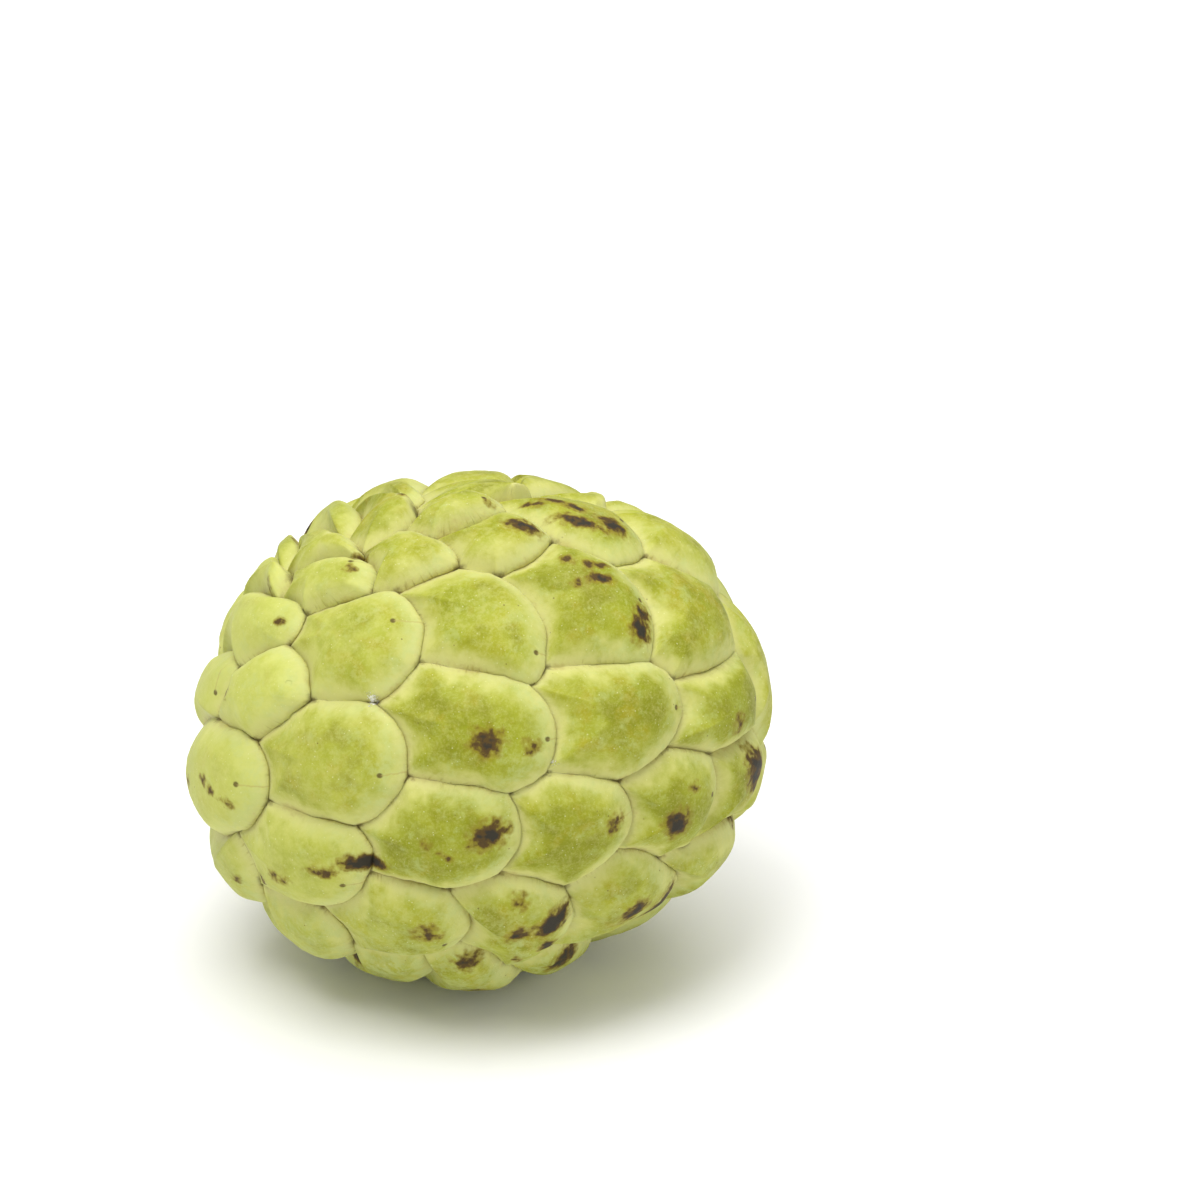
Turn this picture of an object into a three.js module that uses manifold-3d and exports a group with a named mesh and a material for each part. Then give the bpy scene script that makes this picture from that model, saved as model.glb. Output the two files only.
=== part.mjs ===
// Custard apple, one whole fruit lying on its side. Millimetres, +Z up.
//
// The rind is one closed solid. Its surface is divided into scales: each scale is a soft
// cushion that starts low on the side of the stalk and ends in a rounded, steeper lip
// towards the far end of the fruit. The seams between scales are the lowest lines.
// The scales on which the fruit rests are flattened where they touch the ground.
// A short cut stalk sits in a socket at the bottom of the hollow at the stalk end.
import * as THREE from 'three';
import { ConvexHull } from 'three/addons/math/ConvexHull.js';
import Module from 'manifold-3d';

// Body, an ellipsoid of revolution through the seams.
const HALF_LENGTH = 40.6;        // along the long axis
const HALF_WIDTH = 35.2;         // across it
const BODY_LEAN = 10.5;          // degrees, the far end of the long axis is raised

// How the pattern of scales is turned on the body, in degrees.
const PATTERN_ROLL = 26;         // about the stalk axis
const PATTERN_LEAN = 4.5;        // the far end is raised
const PATTERN_YAW = 2.8;         // the far end is swung towards -Y

// Scales.
const SCALE_RISE = 2.2;          // height of a cushion above its seams
const SEAM_BULGE = 0.20;         // how far a seam bows towards the far end, per seam length
const SEAM_PARTS = 2;            // straight pieces in one seam
const RINGS = [0.86, 0.52];      // rings of a cushion, 1 is the seam and 0 the centre
const ROUND_NEAR = 2.4;          // fullness of a cushion on the stalk side
const ROUND_FAR = 6.0;           // and on the far side, where it ends in a lip

// Stalk end.
const HOLLOW_DEPTH = 2.0;        // how far the hollow sinks below the body
const SOCKET_RADIUS = 3.6;
const SOCKET_DEPTH = 1.2;        // below the middle of the hollow
const STALK_GAP = 0.3;           // free space all round the stalk in its socket
const STALK_LENGTH = 5.8;
const STALK_TOP_RADIUS = 2.5;
const STALK_SIDES = 20;

// The ground presses the lowest scales flat by this much.
const CONTACT_DEPTH = 0.45;

// Where the scales sit. Each row runs from the stalk end to the far end. A pair gives the
// degrees round the stalk axis and the degrees down from the stalk.
const SCALE_ROWS = [
  [[352, 24], [355, 55], [2, 88], [356, 122], [3, 151]],
  [[23, 39], [26, 64], [27, 89], [29, 117], [35, 142]],
  [[42, 19], [36, 41], [44, 58], [44, 80], [50, 96], [59, 116]],
  [[53, 61], [58, 73], [60, 91]],
  [[71, 40], [81, 63], [71, 74], [78, 95], [76, 118], [74, 141]],
  [[93, 46], [100, 64], [100, 84], [101, 106], [102, 129]],
  [[100, 25], [124, 52], [124, 75], [125, 96], [127, 118], [120, 143]],
  [[140, 35], [150, 56], [150, 80], [150, 104], [152, 128], [155, 150]],
  [[180, 39], [177, 64], [175, 88], [176, 110], [176, 132]],
  [[201, 52], [202, 72], [202, 94], [203, 116], [202, 140]],
  [[222, 33], [229, 58], [228, 82], [227, 105], [229, 128], [228, 150]],
  [[253, 45], [255, 69], [256, 92], [255, 114], [255, 138]],
  [[288, 22], [283, 43], [285, 63], [282, 82], [280, 104], [285, 137]],
  [[313, 67], [311, 92], [307, 116], [316, 154]],
  [[326, 47], [338, 81], [333, 111], [336, 132]],
  [[54, 172], [165, 169], [250, 164]],
];
const HOLLOW_PLACE = [180, 14];

const DEG = Math.PI / 180;
const wasm = await Module();
wasm.setup();

// Turns a direction from the pattern's own axes (x towards the far end) to the part's axes.
function patternToPart(v) {
  v.applyAxisAngle(new THREE.Vector3(1, 0, 0), -PATTERN_ROLL * DEG);
  v.applyAxisAngle(new THREE.Vector3(0, 1, 0), -PATTERN_LEAN * DEG);
  v.applyAxisAngle(new THREE.Vector3(0, 0, 1), -PATTERN_YAW * DEG);
  return v;
}

function placeToDirection([around, down]) {
  const a = around * DEG;
  const d = down * DEG;
  return patternToPart(new THREE.Vector3(
    -Math.cos(d), -Math.sin(d) * Math.cos(a), Math.sin(d) * Math.sin(a)));
}

const FAR_END = patternToPart(new THREE.Vector3(1, 0, 0));
const LONG_AXIS = new THREE.Vector3(Math.cos(BODY_LEAN * DEG), 0, Math.sin(BODY_LEAN * DEG));

// The point of the body in a direction from its centre, raised along the outward normal.
function bodyPoint(direction, rise = 0) {
  const along = direction.dot(LONG_AXIS);
  const across = direction.clone().addScaledVector(LONG_AXIS, -along);
  const reach = 1 / Math.hypot(along / HALF_LENGTH, across.length() / HALF_WIDTH);
  const normal = LONG_AXIS.clone().multiplyScalar(along / HALF_LENGTH ** 2)
    .addScaledVector(across, 1 / HALF_WIDTH ** 2).normalize();
  return direction.clone().multiplyScalar(reach).addScaledVector(normal, rise);
}

// The direction towards the far end, along the surface, at a unit direction.
function towardsFarEnd(direction) {
  return FAR_END.clone().addScaledVector(direction, -FAR_END.dot(direction)).normalize();
}

// Three neighbouring scales meet between the centre of the circle through them and the
// middle of the three.
function meetingPoint(a, b, c) {
  const middle = a.clone().add(b).add(c).normalize();
  const circle = b.clone().sub(a).cross(c.clone().sub(a)).normalize();
  if (circle.dot(middle) < 0) circle.negate();
  return circle.add(middle).normalize();
}

// Finds which scales touch, and returns for every scale its corners in order round it.
function layOutCells(centres) {
  const indexOf = new Map(centres.map((centre, i) => [centre, i]));
  const triples = new ConvexHull().setFromPoints(centres).faces.map((face) => {
    const first = face.edge;
    return [first, first.next, first.next.next].map((edge) => indexOf.get(edge.vertex.point));
  });
  const corners = triples.map((t) => meetingPoint(...t.map((i) => centres[i])));
  const cells = centres.map((centre, i) => {
    const side = new THREE.Vector3(0, 0, 1).cross(centre).normalize();
    const upward = centre.clone().cross(side);
    const turn = (t) => Math.atan2(corners[t].dot(upward), corners[t].dot(side));
    const around = triples.map((t, k) => (t.includes(i) ? k : -1)).filter((k) => k >= 0);
    return around.sort((p, q) => turn(p) - turn(q));
  });
  return { corners, cells };
}

// The inner points of the seam between two corners. It bows towards the far end.
function seamPoints(from, to) {
  const middle = from.clone().add(to).normalize();
  const chord = to.clone().sub(from);
  const across = middle.clone().cross(chord).normalize();
  const facing = across.dot(towardsFarEnd(middle));
  const bow = SEAM_BULGE * chord.length() * facing * Math.abs(facing);
  const points = [];
  for (let k = 1; k < SEAM_PARTS; k += 1) {
    const s = k / SEAM_PARTS;
    points.push(from.clone().lerp(to, s)
      .addScaledVector(across, bow * Math.sin(Math.PI * s)).normalize());
  }
  return points;
}

// Height of a cushion at a fraction of the way from its centre to its seam.
function cushionRise(fraction, facing) {
  const fullness = ROUND_NEAR + (ROUND_FAR - ROUND_NEAR) * (1 + facing) / 2;
  return SCALE_RISE * (1 - fraction ** fullness);
}

function hollowRise(fraction) {
  return -HOLLOW_DEPTH * (1 - fraction ** 2);
}

// Builds the closed skin of all the scales and the hollow, as points and triangles.
function buildSkin() {
  const centres = [...SCALE_ROWS.flat(), HOLLOW_PLACE].map(placeToDirection);
  const hollow = centres.length - 1;
  const { corners, cells } = layOutCells(centres);
  const directions = corners.slice();
  const points = corners.map((corner) => bodyPoint(corner));
  const triangles = [];
  const seams = new Map();

  const addPoint = (direction, rise) => {
    directions.push(direction);
    return points.push(bodyPoint(direction, rise)) - 1;
  };
  const seam = (from, to) => {
    const key = `${Math.min(from, to)}-${Math.max(from, to)}`;
    if (!seams.has(key)) {
      const [low, high] = from < to ? [from, to] : [to, from];
      seams.set(key, seamPoints(corners[low], corners[high]).map((d) => addPoint(d, 0)));
    }
    const inner = seams.get(key);
    return from < to ? inner : [...inner].reverse();
  };

  cells.forEach((around, i) => {
    const outline = around.flatMap((corner, k) => [
      corner, ...seam(corner, around[(k + 1) % around.length])]);
    const count = outline.length;
    const centre = outline.reduce((sum, p) => sum.add(directions[p]), new THREE.Vector3());
    centre.normalize();
    const facing = outline.map((p) => directions[p].clone().sub(centre).normalize()
      .dot(towardsFarEnd(centre)));
    const rise = (fraction, k) => (i === hollow
      ? hollowRise(fraction) : cushionRise(fraction, facing[k]));
    let outer = outline;
    for (const fraction of RINGS) {
      const inner = outline.map((p, k) => addPoint(
        centre.clone().lerp(directions[p], fraction).normalize(), rise(fraction, k)));
      for (let k = 0; k < count; k += 1) {
        const n = (k + 1) % count;
        triangles.push([outer[k], outer[n], inner[n]], [outer[k], inner[n], inner[k]]);
      }
      outer = inner;
    }
    const top = addPoint(centre, rise(0, 0));
    for (let k = 0; k < count; k += 1) triangles.push([outer[k], outer[(k + 1) % count], top]);
  });
  return { points, triangles };
}

function toManifold(points, triangles) {
  return new wasm.Manifold(new wasm.Mesh({
    numProp: 3,
    vertProperties: new Float32Array(points.flatMap((p) => [p.x, p.y, p.z])),
    triVerts: new Uint32Array(triangles.flat()),
  }));
}

function toGeometry(manifold) {
  const mesh = manifold.getMesh();
  const geometry = new THREE.BufferGeometry();
  geometry.setAttribute('position', new THREE.BufferAttribute(mesh.vertProperties, 3));
  geometry.setIndex(new THREE.BufferAttribute(mesh.triVerts, 1));
  return geometry;
}

// A round bar standing on `foot` along `axis`, as a solid for joining or cutting.
function roundBar(foot, axis, height, footRadius, topRadius) {
  const turn = new THREE.Quaternion().setFromUnitVectors(new THREE.Vector3(0, 0, 1), axis);
  const placing = new THREE.Matrix4().compose(foot, turn, new THREE.Vector3(1, 1, 1));
  return wasm.Manifold.cylinder(height, footRadius, topRadius, STALK_SIDES)
    .transform(placing.elements);
}

const skin = buildSkin();
const stalkAxis = placeToDirection(HOLLOW_PLACE);
const hollowFloor = bodyPoint(stalkAxis, -HOLLOW_DEPTH);
const socketFloor = hollowFloor.clone().addScaledVector(stalkAxis, -SOCKET_DEPTH);
const ground = Math.min(...skin.points.map((p) => p.z)) + CONTACT_DEPTH;
const below = wasm.Manifold.cube([200, 200, 50], true).translate([0, 0, ground - 25]);

const fruit = toManifold(skin.points, skin.triangles)
  .subtract(below)
  .subtract(roundBar(socketFloor, stalkAxis, 12, SOCKET_RADIUS, SOCKET_RADIUS));
const stalk = roundBar(
  socketFloor.clone().addScaledVector(stalkAxis, STALK_GAP), stalkAxis, STALK_LENGTH,
  SOCKET_RADIUS - STALK_GAP, STALK_TOP_RADIUS);

const bounds = fruit.boundingBox();
const toOrigin = [
  -(bounds.min[0] + bounds.max[0]) / 2, -(bounds.min[1] + bounds.max[1]) / 2, -ground];

function node(name, solid, color, roughness) {
  const material = new THREE.MeshStandardMaterial({ color, roughness });
  const mesh = new THREE.Mesh(toGeometry(solid.translate(toOrigin)), material);
  mesh.name = name;
  return mesh;
}

const part = new THREE.Group();
part.name = 'custard_apple';
part.add(node('fruit', fruit, 0xb9c66a, 0.6));
part.add(node('stalk_stub', stalk, 0x6d5636, 0.9));

export default part;
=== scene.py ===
"""Looks of one whole custard apple lying on its side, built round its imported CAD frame.

The rind is laid out scale by scale: a flat tile is modelled once for each number of sides,
and every scale is a copy of it, draped over the body and joined to its neighbours along the
seams. The cut stalk sits in the hollow at the stalk end. Classes hold their sizes in
millimetres, and a mesh is written in metres, in the place of the CAD part.
"""

import logging
import math
from dataclasses import dataclass, field
from enum import Enum
from typing import Union

import bmesh
import bpy
import numpy as np
from mathutils import Matrix, Vector, noise


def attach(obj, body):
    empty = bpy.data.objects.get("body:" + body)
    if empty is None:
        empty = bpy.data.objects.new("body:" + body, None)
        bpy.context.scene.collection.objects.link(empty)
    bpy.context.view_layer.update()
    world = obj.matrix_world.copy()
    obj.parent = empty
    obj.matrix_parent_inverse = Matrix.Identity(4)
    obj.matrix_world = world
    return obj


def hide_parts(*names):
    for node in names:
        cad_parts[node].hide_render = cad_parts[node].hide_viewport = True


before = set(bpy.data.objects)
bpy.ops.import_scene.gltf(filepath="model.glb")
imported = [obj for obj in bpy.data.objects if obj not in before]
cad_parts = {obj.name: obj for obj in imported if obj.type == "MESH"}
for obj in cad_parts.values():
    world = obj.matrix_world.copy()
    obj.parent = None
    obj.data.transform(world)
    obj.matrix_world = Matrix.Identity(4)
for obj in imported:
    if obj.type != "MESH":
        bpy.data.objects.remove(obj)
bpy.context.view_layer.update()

logging.basicConfig(level=logging.INFO, format="%(name)s: %(message)s")
log = logging.getLogger("custard_apple")

MM = 0.001

Colour = tuple[float, float, float]
Point = tuple[float, float, float]
Place = tuple[float, float]
Pair = tuple[float, float]
Layers = tuple[tuple[float, float, float], ...]

# A distance on the unit ball, times the body's half width and one of these, is about its
# length in millimetres on the fruit: the first for a scale, the second for a bruise.
FLAT_STRETCH = 1.06
PATCH_STRETCH = 1.08


class Surface(Enum):
    """The two kinds of tile that cover the fruit."""

    SCALE = "scale"
    HOLLOW = "hollow"


# ------------------------------------------------------------------ shape of the fruit


@dataclass(frozen=True)
class FruitBody:
    """The smooth body under the scales, and how the pattern of scales is turned on it."""

    half_length: float = 39.9
    half_width: float = 34.4
    lean: float = 10.5
    pattern_roll: float = 26.0
    pattern_lean: float = 4.5
    pattern_yaw: float = 2.8
    centre: Point = (-0.25, -0.031, 36.7)

    @property
    def long_axis(self) -> np.ndarray:
        """Unit vector along the body, towards the far end."""
        lean = math.radians(self.lean)
        return np.array([math.cos(lean), 0.0, math.sin(lean)])

    @property
    def pattern_turn(self) -> np.ndarray:
        """How the pattern of scales is turned.

        Returns:
            The rotation from its own axes, x towards the far end, to the part's.
        """
        return np.array(
            Matrix.Rotation(math.radians(-self.pattern_yaw), 3, "Z")
            @ Matrix.Rotation(math.radians(-self.pattern_lean), 3, "Y")
            @ Matrix.Rotation(math.radians(-self.pattern_roll), 3, "X"))

    @property
    def stalk_axis(self) -> np.ndarray:
        """Unit vector out of the middle of the hollow, along the stalk."""
        return self.direction(HOLLOW_PLACE)

    def direction(self, place: Place) -> np.ndarray:
        """Direction from the body's centre of a place given in degrees.

        Args:
            place: degrees round the stalk axis, and degrees down from the stalk.

        Returns:
            A unit vector in the part's axes.
        """
        around, down = (math.radians(angle) for angle in place)
        flat = math.sin(down)
        return self.pattern_turn @ np.array(
            [-math.cos(down), -flat * math.cos(around), flat * math.sin(around)])

    def towards_far_end(self, directions: np.ndarray) -> np.ndarray:
        """The way to the far end along the surface.

        Args:
            directions: unit vectors, one to a row.

        Returns:
            Unit vectors at right angles to them.
        """
        far_end = self.pattern_turn[:, 0]
        return unit(far_end - directions * (directions @ far_end)[..., None])

    def surface(self, directions: np.ndarray) -> tuple[np.ndarray, np.ndarray]:
        """Points of the smooth body and its outward normals.

        Args:
            directions: unit vectors from the centre, one to a row.

        Returns:
            The points from the body's centre, and the normals.
        """
        along = (directions @ self.long_axis)[..., None]
        across = directions - along * self.long_axis
        width = np.linalg.norm(across, axis=-1, keepdims=True)
        reach = 1 / np.hypot(along / self.half_length, width / self.half_width)
        normals = unit(along / self.half_length ** 2 * self.long_axis
                       + across / self.half_width ** 2)
        sink = np.zeros(along.shape)
        for dent in DENTS:
            gap = np.arccos(np.clip(directions @ self.direction(dent.place), -1, 1))
            sink += dent.depth * np.exp(-(np.degrees(gap)[..., None] / dent.spread) ** 2)
        return directions * reach - normals * sink, normals


def unit(vectors: np.ndarray) -> np.ndarray:
    """Vectors of length 1 in the same directions."""
    return vectors / np.linalg.norm(vectors, axis=-1, keepdims=True)


def ease(values: np.ndarray, low: float, high: float) -> np.ndarray:
    """Smooth rise from 0 at low to 1 at high."""
    share = np.clip((values - low) / (high - low), 0, 1)
    return share * share * (3 - 2 * share)


def unevenness(points: np.ndarray, size: float, seed: float) -> np.ndarray:
    """Smooth random height from -1 to 1 that depends only on the place.

    Args:
        points: places in millimetres, one to a row.
        size: width of a hump, in millimetres.
        seed: another number gives another pattern.

    Returns:
        One height for each point.
    """
    return np.array([noise.noise(Vector(p) / size + Vector((seed, -seed, seed)))
                     for p in points])


def relief(points: np.ndarray, layers: Layers) -> np.ndarray:
    """Several layers of unevenness, added up.

    Args:
        points: places in millimetres, one to a row.
        layers: for each, its height, the width of a hump, and its seed.

    Returns:
        One height for each point.
    """
    return sum(height * unevenness(points, size, seed) for height, size, seed in layers)


# Each row runs from the stalk end to the far end. A pair gives the degrees round the stalk
# axis and the degrees down from the stalk.
SCALE_ROWS: list[list[Place]] = [
    [(352, 24), (355, 55), (1, 87), (358, 120), (3, 151)],
    [(23, 36), (27, 62), (25, 91), (30, 119), (35, 142)],
    [(80, 13), (45, 42), (47, 60), (44, 80), (50, 96), (59, 116)],
    [(67, 57), (63, 73), (59, 92)],
    [(74, 43), (79, 63), (88, 77), (74, 93), (80, 117), (78, 139)],
    [(90, 48), (108, 66), (95, 91), (95, 110), (104, 128)],
    [(98, 28), (128, 50), (128, 78), (128, 99), (129, 120), (120, 143)],
    [(140, 35), (150, 56), (150, 80), (150, 104), (152, 128), (155, 150)],
    [(180, 39), (177, 64), (175, 88), (176, 110), (176, 132)],
    [(201, 52), (202, 72), (202, 94), (203, 116), (202, 140)],
    [(222, 33), (229, 58), (228, 82), (227, 105), (229, 128), (228, 150)],
    [(253, 45), (255, 69), (256, 92), (255, 114), (255, 138)],
    [(288, 22), (283, 43), (285, 63), (282, 82), (280, 104), (285, 137)],
    [(313, 67), (311, 92), (307, 116), (316, 154)],
    [(326, 47), (338, 81), (333, 111), (336, 132)],
    [(54, 172), (165, 169), (250, 164)],
]
HOLLOW_PLACE: Place = (180, 14)

# Corners where scales meet off the even pattern, in the same degrees. Each pulls the nearest
# corner of the pattern to itself, if that is near enough.
CORNER_PLACES: list[Place] = [
    (9, 68), (18, 79), (10, 104), (349, 106), (345, 97), (351, 74), (14, 108), (16, 133),
    (11, 139), (350, 136), (343, 123), (341, 149), (308, 140), (311, 132), (323, 121),
    (316, 108), (325, 93), (321, 81), (325, 63), (338, 61), (13, 52), (342, 38), (3, 36),
    (38, 69), (37, 75), (42, 90), (38, 99), (51, 112), (46, 125), (57, 134), (320, 27),
    (307, 50), (297, 73), (292, 101), (52, 84), (61, 102), (65, 81), (37, 161), (339, 167),
]

# Scales that the even pattern would make neighbours, but that two others keep apart.
PARTED_SCALES: list[tuple[int, int]] = [(10, 19), (11, 16), (12, 17), (10, 63), (67, 68)]

# Corners that sit well away from where the even pattern would put them. Each is named by the
# numbers of the three tiles that meet there, counted through the rows above.
CORNER_MOVES: dict[tuple[int, int, int], Place] = {
    (5, 6, 11): (32, 47), (6, 11, 12): (40, 52), (5, 10, 11): (38, 30), (0, 5, 10): (21, 20),
    (10, 11, 30): (112, 20), (11, 19, 30): (103, 29), (11, 12, 19): (52, 45),
    (12, 16, 19): (60, 49), (16, 19, 25): (67, 46), (19, 25, 30): (100, 40),
    (16, 20, 25): (88, 50), (20, 25, 26): (99, 49), (16, 17, 20): (62, 63),
    (17, 20, 21): (88, 64), (20, 21, 26): (98, 61), (12, 13, 16): (51, 67),
    (13, 16, 17): (54, 67), (17, 21, 22): (69, 80), (21, 22, 27): (80, 81),
    (21, 26, 27): (98, 81), (22, 27, 28): (77, 102), (22, 23, 28): (81, 105),
    (15, 22, 23): (80, 109), (23, 28, 29): (99, 121), (23, 24, 29): (90, 124),
    (0, 10, 80): (141, 7), (0, 63, 80): (246, 13), (10, 30, 80): (144, 19),
    (58, 63, 64): (259, 31), (58, 64, 65): (266, 51), (59, 65, 66): (266, 70),
    (60, 66, 67): (266, 93), (61, 67, 71): (263, 115), (61, 68, 71): (262, 127),
    (62, 68, 79): (262, 151),
}

# Where the dried tip of a scale sits, for scales whose tip is off the middle line.
TIP_PLACES: dict[Place, Place] = {
    (352, 24): (348, 33), (355, 55): (352, 69), (1, 87): (357, 107), (358, 120): (2, 138),
    (23, 36): (18, 49), (27, 62): (27, 75), (25, 91): (17, 106), (80, 13): (35, 22),
}

# How deep the green of a scale is, from about -1 for creamy to 1.3 for the darkest. Other
# scales take a random tone.
SCALE_TONES: dict[Place, float] = {
    (352, 24): -0.5, (355, 55): 0.5, (1, 87): 0.8, (358, 120): 0.9, (3, 151): 1.3,
    (23, 36): -0.8, (27, 62): -0.3, (25, 91): -0.1, (30, 119): 0.9, (35, 142): 0.6,
    (80, 13): -0.8, (45, 42): -0.9, (47, 60): -0.5, (44, 80): -0.3, (50, 96): -0.1,
    (59, 116): 0.2, (67, 57): -0.4, (63, 73): 0.7, (59, 92): 0.1, (74, 43): -0.7,
    (79, 63): -0.2, (88, 77): 0.0, (74, 93): -0.2, (80, 117): -0.2, (326, 47): 0.0,
    (338, 81): 1.0, (333, 111): 0.9, (336, 132): 1.2, (313, 67): 0.2, (311, 92): 0.2,
    (307, 116): 0.3, (316, 154): 0.8, (283, 43): 0.1, (285, 63): 0.0, (282, 82): 0.2,
}


@dataclass(frozen=True)
class Bruise:
    """A brown or black patch in the skin."""

    place: Place
    length: float
    width: float
    turn: float = 0.0
    depth: float = 1.0


@dataclass(frozen=True)
class Dent:
    """A broad flat or hollow in the body."""

    place: Place
    spread: float
    depth: float


DENTS: list[Dent] = [
    Dent((83, 114), 16, 2.3), Dent((72, 20), 15, 2.2), Dent((276, 120), 14, 3.0),
    Dent((278, 62), 10, 0.7),
]

# White crumbs of dried sap that cling in the seams.
CRUMBS: list[Bruise] = [Bruise((around, down), *size) for around, down, *size in (
    (10, 68, 0.9, 1.1, 0, 1.0), (351, 108, 0.8, 0.9, 0, 0.75),
)]

# Each row gives the place, the length, the width, the turn and the depth.
BRUISES: list[Bruise] = [Bruise((around, down), *size) for around, down, *size in (
    (358, 93, 2.6, 2.3, 0, 1.0), (356, 103, 1.9, 1.4, 0, 0.62), (337, 92, 2.9, 2.2, 20, 1.15),
    (336, 78, 1.1, 1.0, 0, 0.62), (333, 82, 2.0, 0.6, -35, 0.66), (319, 43, 2.3, 1.0, 10, 0.72),
    (326, 54, 2.6, 1.0, 8, 0.82), (329, 63, 3.0, 1.25, -5, 1.5), (310, 37, 0.9, 0.9, 0, 0.95),
    (310, 104, 3.0, 1.9, 25, 1.5), (309, 96, 2.1, 1.4, 20, 1.0), (302, 102, 1.4, 1.3, 0, 1.2),
    (318, 97, 1.7, 1.6, 0, 0.62), (299, 95, 0.8, 0.9, 0, 1.0), (311, 76, 2.3, 2.0, 0, 0.78),
    (295, 84, 2.4, 1.9, 0, 0.92), (278, 85, 2.0, 2.5, 0, 0.8), (282, 106, 3.0, 2.0, 0, 1.25),
    (301, 123, 2.7, 1.9, 30, 1.1), (292, 130, 3.8, 2.0, 30, 1.35), (327, 135, 2.0, 2.1, 0, 1.3),
    (336, 140, 1.1, 0.9, 0, 0.75), (318, 161, 2.2, 3.6, 0, 1.25), (289, 155, 1.1, 2.6, 0, 0.8),
    (334, 120, 2.0, 1.5, 30, 0.82), (29, 131, 1.6, 1.2, 0, 1.15), (24, 130, 1.8, 1.7, 0, 1.35),
    (40, 120, 2.6, 0.8, 10, 0.92), (36, 121, 2.2, 0.9, 5, 1.05), (41, 114, 1.1, 0.9, 0, 0.95),
    (34, 116, 1.1, 0.8, 0, 0.85), (64, 113, 2.7, 1.1, -15, 0.98),
    (62, 117, 1.7, 1.0, -15, 1.05), (63, 108, 1.9, 0.9, -15, 0.92),
    (56, 118, 3.8, 1.2, -10, 1.1), (58, 125, 2.5, 1.5, -15, 1.25),
    (51, 105, 2.7, 1.7, -10, 1.05), (353, 155, 1.7, 1.5, 0, 0.66), (335, 12, 1.0, 1.0, 0, 0.95),
    (347, 22, 1.0, 0.9, 0, 0.86), (343, 25, 0.9, 0.9, 0, 0.86), (340, 30, 1.1, 0.9, 0, 0.82),
    (24, 31, 1.0, 1.5, 0, 0.78), (51, 67, 1.5, 1.1, 0, 0.8), (68, 79, 0.8, 0.8, 0, 0.8),
    (61, 98, 0.9, 0.8, 0, 0.9), (45, 66, 1.0, 0.8, 0, 0.9), (294, 29, 1.0, 1.0, 0, 0.75),
    (60, 44, 0.9, 0.9, 0, 0.75), (39, 47, 0.9, 0.8, 0, 0.9),
)]


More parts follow.
